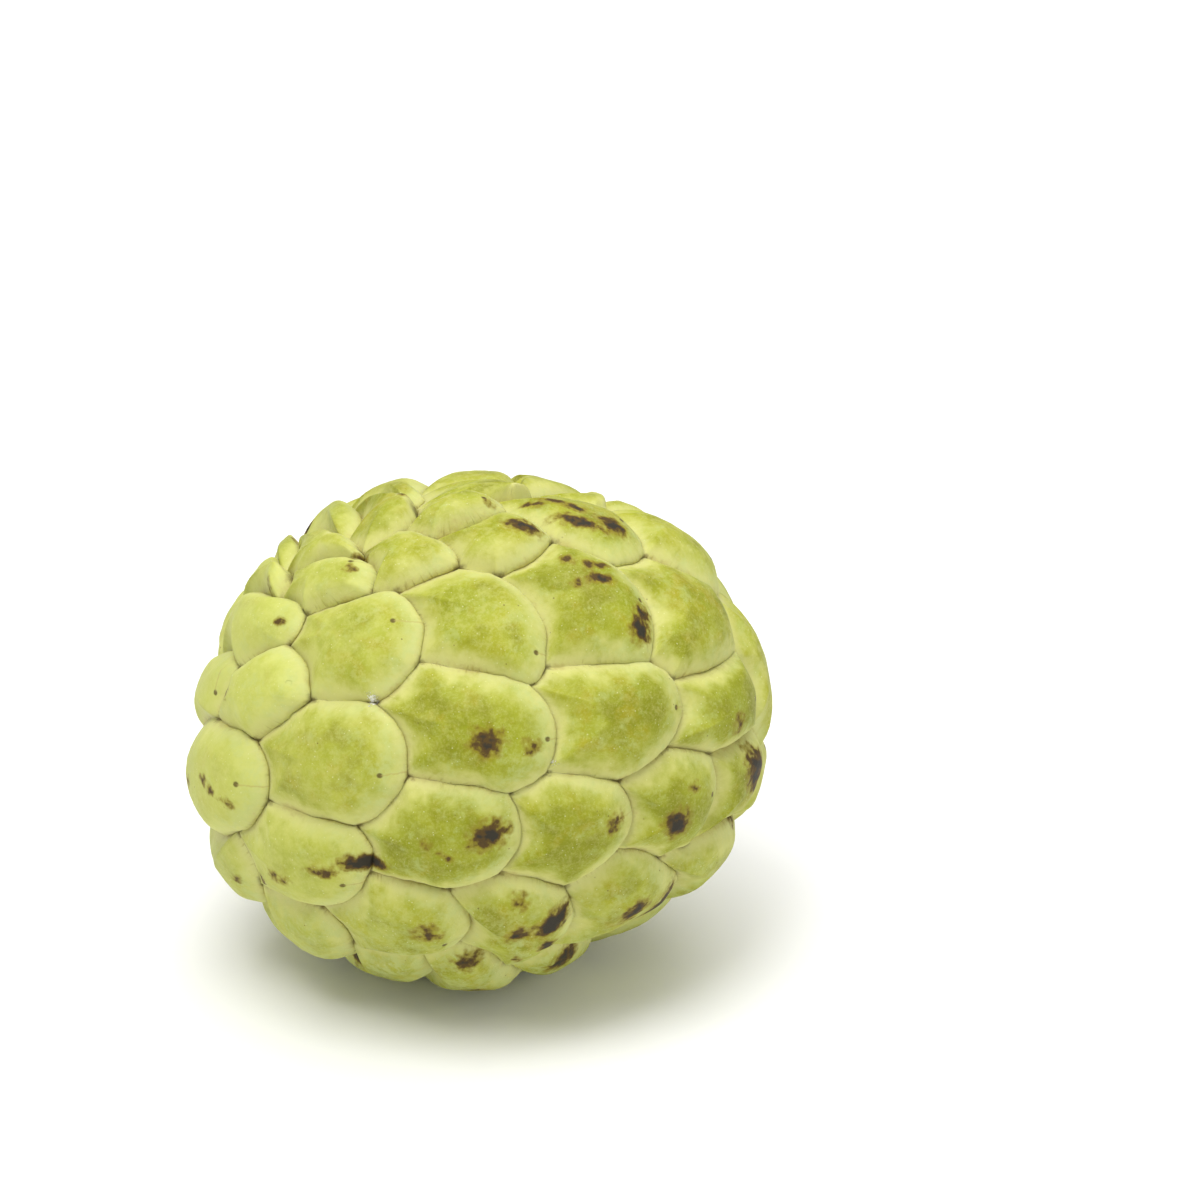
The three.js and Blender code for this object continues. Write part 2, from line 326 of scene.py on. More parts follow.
class ScaleLayout:
    """Where the scales sit on the body and where their seams run."""

    longest_bow: float = 0.38
    pull_limit: float = 8.0
    relax_rounds: int = 12
    own_weight: float = 1.5
    seam_wander: Layers = ((0.30, 3.4, 3.0), (0.16, 1.1, 8.0))

    def __init__(self, body: FruitBody, parts: int, bulge: float) -> None:
        """Finds the neighbours of every scale.

        Args:
            body: the body that the scales cover.
            parts: straight pieces in the seam between two corners.
            bulge: how far a seam bows towards the far end, per seam length.
        """
        self.body, self.parts, self.bulge = body, parts, bulge
        self.places = [place for row in SCALE_ROWS for place in row] + [HOLLOW_PLACE]
        self.centres = np.array([body.direction(place) for place in self.places])
        triples = self._triples()
        self.corners = np.array([self._meeting_point(self.centres[list(t)]) for t in triples])
        self.cells = [self._corners_round(i, triples) for i in range(len(self.places))]
        self._pull_corners(triples)
        self._seams: dict[tuple[int, int], np.ndarray] = {}

    def _pull_corners(self, triples: list[tuple[int, ...]]) -> None:
        """Moves corners to their own places: the named ones, then the others nearest first.

        Args:
            triples: the three scales that meet at each corner.
        """
        moved = [triples.index(three) for three in CORNER_MOVES]
        for corner, place in zip(moved, CORNER_MOVES.values()):
            self.corners[corner] = self.body.direction(place)
        wanted = np.array([self.body.direction(place) for place in CORNER_PLACES])
        gaps = np.degrees(np.arccos(np.clip(wanted @ self.corners.T, -1, 1)))
        gaps[:, moved] = 180.0
        while gaps.min() < self.pull_limit:
            own, nearest = np.unravel_index(gaps.argmin(), gaps.shape)
            self.corners[nearest] = wanted[own]
            gaps[own, :] = gaps[:, nearest] = 180.0
            moved.append(int(nearest))
        self._relax(triples, [k for k in range(len(triples)) if k not in moved])

    def _relax(self, triples: list[tuple[int, ...]], loose: list[int]) -> None:
        """Evens out the corners that nothing holds in place, so that no scale folds over.

        Args:
            triples: the three scales that meet at each corner.
            loose: numbers of the corners that may move.
        """
        joined = {k: [j for j, other in enumerate(triples)
                      if len(set(other) & set(triples[k])) == 2] for k in loose}
        for _ in range(self.relax_rounds):
            self.corners[loose] = [
                unit(self.corners[k] * self.own_weight + self.corners[joined[k]].sum(axis=0))
                for k in loose]

    def kind(self, index: int) -> Surface:
        """Whether a tile is a scale or the hollow round the stalk."""
        return Surface.HOLLOW if index == len(self.places) - 1 else Surface.SCALE

    def _triples(self) -> list[tuple[int, ...]]:
        """Every three centres that are neighbours, from the hull of all centres.

        Returns:
            The numbers of three tiles for each corner, in order.
        """
        hull = bmesh.new()
        for centre in self.centres:
            hull.verts.new(centre)
        bmesh.ops.convex_hull(hull, input=hull.verts)
        hull.verts.index_update()
        triples = sorted(tuple(sorted(v.index for v in face.verts)) for face in hull.faces)
        hull.free()
        for pair in PARTED_SCALES:
            first, second = [t for t in triples if set(pair) < set(t)]
            between = set(first) ^ set(second)
            triples.remove(first)
            triples.remove(second)
            triples += [tuple(sorted(between | {scale})) for scale in pair]
        return sorted(triples)

    @staticmethod
    def _meeting_point(three: np.ndarray) -> np.ndarray:
        """Corner of three scales: halfway from their circle's centre to their middle.

        Args:
            three: directions of their middles, one to a row.

        Returns:
            A direction.
        """
        middle = unit(three.sum(axis=0))
        circle = unit(np.cross(three[1] - three[0], three[2] - three[0]))
        return unit(circle * np.sign(circle @ middle) + middle)

    def _corners_round(self, index: int, triples: list[tuple[int, ...]]) -> list[int]:
        """Numbers of a scale's corners, in order round it.

        Args:
            index: the scale's number.
            triples: the three scales that meet at each corner.

        Returns:
            The numbers, counter-clockwise seen from outside.
        """
        mine = [k for k, triple in enumerate(triples) if index in triple]
        ring = [mine.pop(0)]
        neighbour = next(scale for scale in triples[ring[0]] if scale != index)
        while mine:
            ring.append(next(k for k in mine if neighbour in triples[k]))
            mine.remove(ring[-1])
            neighbour = next(scale for scale in triples[ring[-1]]
                             if scale not in (index, neighbour))
        turns = np.cross(self.corners[ring], np.roll(self.corners[ring], -1, axis=0))
        return ring if turns.sum(axis=0) @ self.centres[index] > 0 else ring[::-1]

    def _seam(self, start: int, end: int) -> np.ndarray:
        """Directions along the seam between two corners, without the end corner.

        Args:
            start: number of the corner it starts from.
            end: number of the corner it runs to.

        Returns:
            One direction to a row; both scales on a seam get the same ones.
        """
        low, high = min(start, end), max(start, end)
        if (low, high) not in self._seams:
            first, last = self.corners[low], self.corners[high]
            middle, chord = unit(first + last), last - first
            length = np.linalg.norm(chord)
            across = unit(np.cross(middle, chord))
            facing = across @ self.body.towards_far_end(middle[None])[0]
            share = np.linspace(0, 1, self.parts + 1)
            bow = (self.bulge * min(length, self.longest_bow) * facing * abs(facing)
                   * np.sin(np.pi * share))
            line = unit(first + chord * share[:, None] + across * bow[:, None])
            held = np.minimum(1, 4 * np.minimum(share, 1 - share))
            reach = self.body.half_width
            wander = relief(line * reach, self.seam_wander) / reach
            line = unit(line + across * (wander * held)[:, None])
            self._seams[low, high] = line
        line = self._seams[low, high]
        return line[:-1] if start == low else line[:0:-1]

    def outline(self, index: int) -> np.ndarray:
        """The whole seam of a scale.

        Args:
            index: the scale's number.

        Returns:
            Directions round it, one to a row.
        """
        ring = self.cells[index]
        return np.vstack([self._seam(ring[k], ring[(k + 1) % len(ring)])
                          for k in range(len(ring))])

    @staticmethod
    def middle(outline: np.ndarray, clearance: float = 0.05, pushes: int = 400,
               push_size: float = 0.02) -> np.ndarray:
        """The point inside a scale that sees its seam most freely.

        Args:
            outline: directions round the seam.
            clearance: wanted distance from every piece of the seam, run on past its ends.
            pushes: most steps taken away from the nearest piece.
            push_size: length of the first step; the others get shorter.

        Returns:
            A direction; the plain middle when that is already clear. On a very bent scale
            even the best point may not see the whole seam.
        """
        walls = unit(np.cross(outline, np.roll(outline, -1, axis=0)))
        spot = unit(outline.sum(axis=0))
        best, best_gap = spot, (walls @ spot).min()
        for push in range(pushes):
            gaps = walls @ spot
            if gaps.min() > best_gap:
                best, best_gap = spot, gaps.min()
            if best_gap > clearance:
                break
            spot = unit(spot + walls[gaps.argmin()] * push_size * (1 - push / pushes))
        return best


@dataclass
class FlatTile:
    """A flat round tile, modelled once for each number of sides and then copied."""

    sides: int
    parts: int
    rings: tuple[float, ...]
    model: bpy.types.Object = field(init=False)
    ring: np.ndarray = field(init=False)
    step: np.ndarray = field(init=False)

    def __post_init__(self) -> None:
        """Models the tile and finds which ring and step each of its points is on."""
        count = self.sides * self.parts
        bpy.ops.object.select_all(action="DESELECT")
        bpy.ops.mesh.primitive_circle_add(vertices=count, radius=1.0, fill_type="NGON")
        self.model = bpy.context.object
        bpy.ops.object.mode_set(mode="EDIT")
        bpy.ops.mesh.select_mode(type="FACE")
        bpy.ops.mesh.select_all(action="SELECT")
        for outer, inner in zip(self.rings, self.rings[1:]):
            bpy.ops.mesh.inset(thickness=outer - inner, depth=0)
        bpy.ops.mesh.poke()
        bpy.ops.object.mode_set(mode="OBJECT")
        points = np.array([v.co[:2] for v in self.model.data.vertices])
        radius = np.hypot(points[:, 0], points[:, 1])
        levels = np.array(self.rings + (0.0,))
        self.ring = np.abs(radius[:, None] - levels).argmin(axis=1)
        angle = np.arctan2(points[:, 1], points[:, 0])
        turn = (angle - angle[0]) * count / (2 * np.pi)
        self.step = np.round(turn).astype(int) % count

    def copy(self, name: str) -> bpy.types.Object:
        """Copies the tile, with a mesh of its own.

        Args:
            name: the copy's name.

        Returns:
            The copy, linked to the scene.
        """
        made = bpy.data.objects.new(name, self.model.data.copy())
        bpy.context.scene.collection.objects.link(made)
        return made


@dataclass(frozen=True)
class TilePoints:
    """Where each point of a draped tile lies.

    share runs from 0 at the middle to 1 at the seam, facing from -1 on the stalk side to 1
    towards the far end. reach is the distance from the middle to the seam, and corner_gap
    the distance to the nearest corner, in millimetres.
    """

    share: np.ndarray
    facing: np.ndarray
    reach: np.ndarray
    corner_gap: np.ndarray


@dataclass
class Rind:
    """The scaly skin of the fruit, one closed piece."""

    body: FruitBody
    parts: int = 13
    bulge: float = 0.20
    height: float = 3.15
    height_spread: float = 0.06
    hollow_depth: float = 2.0
    socket_radius: float = 3.7
    socket_depth: float = 1.2
    # Fullness of a cushion on the stalk side and on the far side, where it ends in a lip.
    round_near: float = 2.2
    round_far: float = 4.4
    lip_reach: float = 0.065
    lip_share: float = 0.93
    lip_width: float = 0.075
    # How far a cushion climbs towards its lip, and how far it may tilt sideways.
    climb: float = 0.30
    side_tilt: float = 0.12
    # The pits where seams meet, and how they fade into the scales.
    pit_depth: float = 0.40
    pit_width: float = 1.1
    pit_inside: float = 0.55
    pit_fade: float = 0.7
    lumps: Layers = ((0.26, 7.0, 1.5), (0.10, 2.8, 5.2))
    grain: Layers = ((0.035, 1.0, 9.1),)
    # Softens the edge of the flats on which the fruit rests, in square millimetres.
    floor_softness: float = 0.03
    hidden_count: int = 26
    tone_spread: float = 0.7
    # How far out the dried tip of a scale sits, and how far it strays sideways.
    tip_share: float = 0.62
    tip_drift: float = 1.5
    weld_gap: float = 0.00001
    seed: int = 11
    rings: tuple[float, ...] = (1.0, 0.984, 0.964, 0.94, 0.905, 0.86, 0.80, 0.73, 0.65,
                                0.56, 0.47, 0.38, 0.29, 0.20, 0.11)

    def build(self) -> bpy.types.Object:
        """Models the rind.

        Returns:
            The finished piece, in place.
        """
        layout = ScaleLayout(self.body, self.parts, self.bulge)
        rng = np.random.default_rng(self.seed)
        self.bruises = BRUISES + self._hidden_bruises(rng)
        flat: dict[int, FlatTile] = {}
        tiles = []
        for index, ring in enumerate(layout.cells):
            sides = len(ring)
            if sides not in flat:
                flat[sides] = FlatTile(sides, self.parts, self.rings)
            tile = flat[sides].copy(f"scale_{index:02d}")
            self._drape(tile.data, flat[sides], layout, index, rng)
            tiles.append(tile)
        for pattern in flat.values():
            bpy.data.objects.remove(pattern.model)
        return self._join(tiles)

    def _hidden_bruises(self, rng: np.random.Generator) -> list[Bruise]:
        """Bruises like the others, for the far side of the fruit.

        Args:
            rng: source of their places and sizes.

        Returns:
            The bruises.
        """
        return [Bruise((rng.uniform(85, 275), rng.uniform(40, 160)), rng.uniform(0.9, 3.0),
                       rng.uniform(0.8, 1.9), rng.uniform(-40, 40), rng.uniform(0.65, 1.3))
                for _ in range(self.hidden_count)]

    def _drape(self, mesh: bpy.types.Mesh, flat: FlatTile, layout: ScaleLayout, index: int,
               rng: np.random.Generator) -> None:
        """Shapes a flat tile into one scale and writes what its finish needs.

        Args:
            mesh: the copy to shape.
            flat: the tile it was copied from.
            layout: where the scales sit.
            index: the scale's number.
            rng: source of this scale's own character.
        """
        body = self.body
        outline = layout.outline(index)
        centre = layout.middle(outline)
        far = body.towards_far_end(centre[None])[0]
        side = np.cross(centre, far)
        spoke = outline - centre
        facing_round = unit(spoke) @ far
        reach_round = np.linalg.norm(spoke, axis=1) * body.half_width * FLAT_STRETCH
        share = np.array(self.rings + (0.0,))[flat.ring]
        facing = facing_round[flat.step]
        tilt, puff, tint, blush = rng.uniform(-1, 1, 4)
        tint = SCALE_TONES.get(layout.places[index], self.tone_spread * tint)

        lip = self.lip_reach * ease(facing, -0.1, 0.8)
        bump = np.exp(-((share - self.lip_share) / self.lip_width) ** 2)
        spread = share + lip * bump * (share < 1)
        way = unit(centre * (1 - spread[:, None]) + outline[flat.step] * spread[:, None])
        points, normals = body.surface(way)
        corner_gap = np.min([np.linalg.norm(way - corner, axis=1)
                             for corner in layout.corners], axis=0) * body.half_width
        at = TilePoints(share, facing, reach_round[flat.step], corner_gap)
        if layout.kind(index) is Surface.HOLLOW:
            rise = self._hollow_rise(points, share)
        else:
            rise = self._cushion_rise(at, puff, tilt)
        rise += self._skin_rise(points, at)

        place = points + normals * rise[:, None] + np.array(body.centre)
        place[:, 2] = 0.5 * (place[:, 2] + np.sqrt(place[:, 2] ** 2 + self.floor_softness))
        mesh.vertices.foreach_set("co", (place * MM).ravel())

        offset = way - centre
        tip = self._tip(layout, index, centre, far, side, reach_round, rng)
        flat_place = np.stack([offset @ far, offset @ side], axis=1)
        flat_place = flat_place * body.half_width * FLAT_STRETCH
        steps = np.linalg.norm(np.diff(outline, axis=0), axis=1)
        perimeter = np.concatenate([[0], np.cumsum(steps)]) * body.half_width
        folded = np.minimum(perimeter, perimeter[-1] - perimeter)[flat.step]
        has_tip = 1.0 if layout.kind(index) is Surface.SCALE else 0.0
        own = [tint, blush, rng.uniform(0, 1)]
        self._write(mesh, "edge", [(1 - share) * at.reach, facing, folded])
        self._write(mesh, "place", [*flat_place.T, share])
        self._write(mesh, "tip", [*(flat_place - tip).T, np.full(len(share), has_tip)])
        self._write(mesh, "mark", [self._patches(way, self.bruises),
                                   self._patches(way, CRUMBS), corner_gap])
        self._write(mesh, "tone", [np.full(len(share), value) for value in own])

    def _cushion_rise(self, at: TilePoints, puff: float, tilt: float) -> np.ndarray:
        """Height of a cushion, which climbs to a rounded lip on the far side.

        Args:
            at: where the points lie.
            puff: from -1 for a low scale to 1 for a high one.
            tilt: from -1 to 1, how far it tilts sideways.

        Returns:
            Heights above the seams, zero at the seam.
        """
        share, facing = at.share, at.facing
        fullness = self.round_near + (self.round_far - self.round_near) * (1 + facing) / 2
        swell = (1 - share ** fullness) ** (1.18 - 0.16 * ease(facing, -0.4, 0.7))
        height = self.height * (1 + self.height_spread * puff)
        along, across = share * facing, share * np.sqrt(np.maximum(0, 1 - facing ** 2))
        slope = self.climb * along + self.side_tilt * tilt * across
        return height * swell + (1 - share ** 4) * slope

    def _skin_rise(self, points: np.ndarray, at: TilePoints) -> np.ndarray:
        """Lumps, grain and the pits at the corners, which every tile has.

        Args:
            points: places on the smooth body.
            at: where the points lie.

        Returns:
            Heights to add; along a seam both tiles get the same ones.
        """
        pit = -self.pit_depth * np.exp(-(at.corner_gap / self.pit_width) ** 2)
        inside = (self.pit_inside * np.exp(-(1 - at.share) * at.reach / self.pit_fade)
                  * ease(at.share, 0.6, 0.95))
        return ((1 - at.share ** 6) * relief(points, self.lumps) + relief(points, self.grain)
                + pit * np.where(at.share >= 1, 1, inside))

    def _tip(self, layout: ScaleLayout, index: int, centre: np.ndarray, far: np.ndarray,
             side: np.ndarray, reach: np.ndarray, rng: np.random.Generator) -> np.ndarray:
        """Where the dried tip of a scale sits, in millimetres from its middle.

        Args:
            layout: where the scales sit.
            index: the scale's number.
            centre: direction of its middle.
            far: the way to the far end there.
            side: the way across there.
            reach: distance from the middle to the seam, all round.
            rng: source of small differences.

        Returns:
            Millimetres towards the far end, and across.
        """
        place = layout.places[index]
        drift = rng.uniform(-1, 1)
        if place in TIP_PLACES:
            offset = self.body.direction(TIP_PLACES[place]) - centre
            flat = np.array([offset @ far, offset @ side])
            return flat * self.body.half_width * FLAT_STRETCH
        return np.array([self.tip_share * float(np.max(reach)), self.tip_drift * drift])

    def _patches(self, way: np.ndarray, patches: list[Bruise]) -> np.ndarray:
        """How far each point is inside any of some patches.

        Args:
            way: directions from the body's centre, one to a row.
            patches: the patches.

        Returns:
            0 for sound skin, and up to the patch's own depth in its middle.
        """
        found = np.zeros(len(way))
        for bruise in patches:
            middle = self.body.direction(bruise.place)
            far = self.body.towards_far_end(middle[None])[0]
            across = np.cross(middle, far)
            offset = (way - middle) * self.body.half_width * PATCH_STRETCH
            turn = math.radians(bruise.turn)
            along = offset @ far * math.cos(turn) + offset @ across * math.sin(turn)
            beside = offset @ across * math.cos(turn) - offset @ far * math.sin(turn)
            amount = bruise.depth * np.exp(
                -(along / bruise.length) ** 2 - (beside / bruise.width) ** 2)
            found = np.maximum(found, np.where(way @ middle > 0.8, amount, 0))
        return found

    def _hollow_rise(self, points: np.ndarray, share: np.ndarray) -> np.ndarray:
        """Depth of the hollow round the stalk, with the socket in its middle.

        Args:
            points: places on the smooth body.
            share: how far each is from the middle, 1 at the seam.

        Returns:
            Heights above the body, all zero or less.
        """
        axis = self.body.stalk_axis
        gap = np.linalg.norm(points - np.outer(points @ axis, axis), axis=1)
        socket = 1 - ease(gap, self.socket_radius - 0.4, self.socket_radius + 0.5)
        return -self.hollow_depth * (1 - share ** 2) - self.socket_depth * socket

    @staticmethod
    def _write(mesh: bpy.types.Mesh, name: str, values: list[np.ndarray]) -> None:
        """Stores three numbers for each point of a tile, at its face corners.

        Args:
            mesh: the tile.
            name: name that the finish reads.
            values: three lists, each with one number for each point.
        """
        corners = np.zeros(len(mesh.loops), int)
        mesh.loops.foreach_get("vertex_index", corners)
        made = mesh.attributes.new(name, "FLOAT_VECTOR", "CORNER")
        rows = np.column_stack(values)[corners]
        made.data.foreach_set("vector", rows.astype(np.float32).ravel())

    def _join(self, tiles: list[bpy.types.Object]) -> bpy.types.Object:
        """Joins the scales along their seams into one closed skin.

        Args:
            tiles: the draped scales.

        Returns:
            One piece named rind.
        """
        bpy.ops.object.select_all(action="DESELECT")
        for tile in tiles:
            tile.select_set(True)
        bpy.context.view_layer.objects.active = tiles[0]
        bpy.ops.object.join()
        rind = bpy.context.object
        rind.name = rind.data.name = "rind"
        bpy.ops.object.mode_set(mode="EDIT")
        bpy.ops.mesh.select_all(action="SELECT")
        bpy.ops.mesh.remove_doubles(threshold=self.weld_gap)
        bpy.ops.mesh.normals_make_consistent(inside=False)
        bpy.ops.object.mode_set(mode="OBJECT")
        bpy.ops.object.shade_smooth()
        return rind


@dataclass
class Stalk:
    """The short cut stalk in its socket."""

    body: FruitBody
    sides: int = 26
    foot_radius: float = 3.1
    # How far the foot is below the body, and then along the stalk into its socket.
    below_body: float = 2.0
    into_socket: float = 0.9
    # Height above the foot and radius of each ring of bark.
    bark: tuple[Pair, ...] = ((0.7, 3.25), (1.5, 2.95), (2.4, 2.55), (3.4, 2.38),
                              (4.3, 2.36), (4.95, 2.48), (5.3, 2.40))
    # Narrowing and drop of each ring of the cut end.
    cut: tuple[Pair, ...] = ((0.30, 0.0), (0.18, -0.14), (0.75, -0.08), (0.50, -0.16))
    # Ridges are read round a ring of this radius, with heights shrunk by this much, so that
    # they run lengthwise.
    ridge_radius: float = 2.6
    ridge_stretch: float = 0.35
    # Inside this radius the ridges fade, and above this height the cut end is uneven.
    calm_radius: float = 1.6
    cut_height: float = 4.0
    fibre_height: float = 0.18

    @property
    def foot(self) -> np.ndarray:
        """Middle of the stalk's foot.

        Returns:
            Its place in the part's millimetres.
        """
        axis = self.body.stalk_axis
        point, normal = (found[0] for found in self.body.surface(axis[None]))
        return (point - self.below_body * normal - self.into_socket * axis
                + np.array(self.body.centre))

    def build(self) -> bpy.types.Object:
        """Models the stalk.

        Returns:
            The finished piece, in place.
        """
        bpy.ops.object.select_all(action="DESELECT")
        bpy.ops.mesh.primitive_circle_add(
            vertices=self.sides, radius=self.foot_radius * MM, fill_type="NGON")
        stalk = bpy.context.object
        stalk.name = stalk.data.name = "stalk"
        bpy.ops.object.mode_set(mode="EDIT")
        bpy.ops.mesh.select_mode(type="FACE")
        bpy.ops.mesh.select_all(action="SELECT")
        height, radius = 0.0, self.foot_radius
        for next_height, next_radius in self.bark:
            bpy.ops.mesh.extrude_region_move(
                TRANSFORM_OT_translate={"value": (0, 0, (next_height - height) * MM)})
            grow = next_radius / radius
            bpy.ops.transform.resize(value=(grow, grow, 1),
                                     center_override=(0, 0, next_height * MM))
            height, radius = next_height, next_radius
        for narrowing, drop in self.cut:
            bpy.ops.mesh.inset(thickness=narrowing * MM, depth=drop * MM)
        bpy.ops.mesh.poke()
        bpy.ops.mesh.select_all(action="SELECT")
        bpy.ops.mesh.normals_make_consistent(inside=False)
        bpy.ops.object.mode_set(mode="OBJECT")
        smooth = stalk.modifiers.new("rounding", "SUBSURF")
        smooth.levels = smooth.render_levels = 2
        bpy.ops.object.modifier_apply(modifier=smooth.name)
        self._weather(stalk.data)
        self._place(stalk.data)
        bpy.ops.object.shade_smooth()
        return stalk

    def _weather(self, mesh: bpy.types.Mesh) -> None:
        """Roughens the bark with lengthwise ridges and the cut end with fibres.

        Args:
            mesh: the stalk's mesh, upright at the origin.
        """
        for vertex in mesh.vertices:
            x, y, z = vertex.co / MM
            around = math.atan2(y, x)
            ring = Vector((self.ridge_radius * math.cos(around),
                           self.ridge_radius * math.sin(around), z * self.ridge_stretch))
            ridge = noise.noise(ring * 1.1) * 0.30 + noise.noise(ring * 2.7) * 0.14
            lump = noise.noise(Vector((x, y, z)) * 0.7) * 0.22
            radius = math.hypot(x, y)
            push = (ridge + lump) * min(1.0, radius / self.calm_radius) * MM
            if radius > 1e-6:
                vertex.co.x += x / radius * push
                vertex.co.y += y / radius * push
            if z > self.cut_height:
                fibre = noise.noise(Vector((x, y, 3.0)) * 1.3)
                vertex.co.z += self.fibre_height * MM * fibre

    def _place(self, mesh: bpy.types.Mesh) -> None:
        """Moves the stalk from upright at the origin to its socket.

        Args:
            mesh: the stalk's mesh.
        """
        axis = Vector(self.body.stalk_axis)
        turn = Vector((0, 0, 1)).rotation_difference(axis).to_matrix().to_4x4()
        mesh.transform(Matrix.Translation(Vector(self.foot) * MM) @ turn)


# ------------------------------------------------------------------ finishes

Value = Union["Sock", float, Colour, tuple]
Coat = tuple["Sock", Colour]


class Sock:
    """One output of a node, which can be used in arithmetic like a number."""

    def __init__(self, bench: "Bench", socket: bpy.types.NodeSocket) -> None:
        """Keeps the socket and the material it belongs to."""
        self.bench, self.socket = bench, socket

    def _maths(self, operation: str, first: Value, second: Value) -> "Sock":
        """A Math node on two values."""
        return self.bench.node("ShaderNodeMath", {"operation": operation},
                               {0: first, 1: second})

    def __add__(self, other: Value) -> "Sock":
        """This plus other."""
        return self._maths("ADD", self, other)

    def __radd__(self, other: Value) -> "Sock":
        """Other plus this."""
        return self._maths("ADD", other, self)

    def __sub__(self, other: Value) -> "Sock":
        """This less other."""
        return self._maths("SUBTRACT", self, other)

    def __rsub__(self, other: Value) -> "Sock":
        """Other less this."""
        return self._maths("SUBTRACT", other, self)

    def __mul__(self, other: Value) -> "Sock":
        """This times other."""
        return self._maths("MULTIPLY", self, other)

    def __rmul__(self, other: Value) -> "Sock":
        """Other times this."""
        return self._maths("MULTIPLY", other, self)

    def __abs__(self) -> "Sock":
        """This without its sign."""
        return self._maths("ABSOLUTE", self, 0.0)


class Bench:
    """The node tree of one material, with the few moves that the finishes use."""

    def __init__(self, name: str) -> None:
        """Starts an empty material.

        Args:
            name: the material's name.
        """
        self.material = bpy.data.materials.new(name)
        self.material.use_nodes = True
        self.tree = self.material.node_tree
        self.tree.nodes.clear()

    def node(self, kind: str, settings: dict, inputs: dict, output: int = 0) -> Sock:
        """Adds one node.

        Args:
            kind: the node's type.
            settings: its own settings, set before its sockets.
            inputs: values or links of its sockets, by name or number.
            output: number of the output that is wanted.

        Returns:
            That output.
        """
        made = self.tree.nodes.new(kind)
        for key, value in settings.items():
            setattr(made, key, value)
        for key, value in inputs.items():
            socket = made.inputs[key]
            if isinstance(value, Sock):
                self.tree.links.new(value.socket, socket)
            elif socket.type == "RGBA":
                socket.default_value = (*value, 1.0)
            else:
                socket.default_value = value
        return Sock(self, made.outputs[output])

    def vector(self, operation: str, first: Value, second: Value) -> Sock:
        """A Vector Math node that gives a vector."""
        return self.node("ShaderNodeVectorMath", {"operation": operation},
                         {0: first, 1: second})

    def scaled(self, vector: Value, scale: float) -> Sock:
        """A vector made longer or shorter."""
        return self.node("ShaderNodeVectorMath", {"operation": "SCALE"},
                         {0: vector, "Scale": scale})

    def length(self, vector: Value) -> Sock:
        """The length of a vector."""
        return self.node("ShaderNodeVectorMath", {"operation": "LENGTH"}, {0: vector}, 1)

    def millimetres(self) -> Sock:
        """Object coordinates in millimetres."""
        return self.scaled(self.node("ShaderNodeTexCoord", {}, {}, 3), 1 / MM)

    def attribute(self, name: str) -> tuple[Sock, Sock, Sock]:
        """The three numbers that the piece's mesh holds under a name."""
        return self.split(self.node("ShaderNodeAttribute", {"attribute_name": name}, {}, 1))

    def split(self, vector: Sock) -> tuple[Sock, Sock, Sock]:
        """Takes a vector apart.

        Args:
            vector: the vector.

        Returns:
            Its three parts.
        """
        first = self.node("ShaderNodeSeparateXYZ", {}, {0: vector})
        outputs = first.socket.node.outputs
        return Sock(self, outputs[0]), Sock(self, outputs[1]), Sock(self, outputs[2])

    def joined(self, x: Value, y: Value, z: Value) -> Sock:
        """A vector from its parts."""
        return self.node("ShaderNodeCombineXYZ", {}, {0: x, 1: y, 2: z})

    def noise(self, vector: Sock, scale: float, detail: float = 2.0,
              roughness: float = 0.5) -> Sock:
        """Smooth noise from 0 to 1.

        Args:
            vector: where it is read, in millimetres.
            scale: humps to a millimetre.
            detail: how many finer layers are added.
            roughness: how strong the finer layers are.

        Returns:
            The value.
        """
        return self.node("ShaderNodeTexNoise", {}, {
            "Vector": vector, "Scale": scale, "Detail": detail, "Roughness": roughness})

    def cells(self, vector: Sock, scale: float) -> tuple[Sock, Sock]:
        """Distance to the nearest of many scattered points, and a random value for each.

        Args:
            vector: where it is read, in millimetres.
            scale: points to a millimetre.

        Returns:
            The distance in cells, and the point's own random value.
        """
        near = self.node("ShaderNodeTexVoronoi", {}, {"Vector": vector, "Scale": scale})
        colour = Sock(self, near.socket.node.outputs[1])
        return near, self.split(colour)[0]

    def step(self, value: Value, low: float, high: float) -> Sock:
        """Smooth rise from 0 at low to 1 at high."""
        return self.node("ShaderNodeMapRange", {"interpolation_type": "SMOOTHSTEP"},
                         {0: value, 1: low, 2: high})

    def mix(self, factor: Value, first: Value, second: Value) -> Sock:
        """First colour where the factor is 0, second where it is 1."""
        return self.node("ShaderNodeMix", {"data_type": "RGBA"},
                         {0: factor, 6: first, 7: second}, 2)

    def coated(self, base: Value, coats: list[Coat]) -> Sock:
        """Lays coats of colour over a base.

        Args:
            base: the ground.
            coats: the mask and colour of each coat, first the lowest.

        Returns:
            The colour seen on top.
        """
        for mask, colour in coats:
            base = self.mix(mask, base, colour)
        return base

    def bump(self, height: Sock, distance: float, strength: float = 1.0) -> Sock:
        """A normal for fine relief, with the full height given in millimetres."""
        return self.node("ShaderNodeBump", {}, {
            "Height": height, "Distance": distance * MM, "Strength": strength})

    def finish(self, constants: dict, **varying: Sock) -> bpy.types.Material:
        """Closes the material with a Principled shader.

        Args:
            constants: values set on the shader's own sockets.
            varying: what changes over the surface, with _ for a space in the name.

        Returns:
            The material.
        """
        links = {key.replace("_", " "): value for key, value in varying.items()}
        shader = self.node("ShaderNodeBsdfPrincipled", {}, {**constants, **links})
        output = self.tree.nodes.new("ShaderNodeOutputMaterial")
        self.tree.links.new(shader.socket, output.inputs["Surface"])
        return self.material


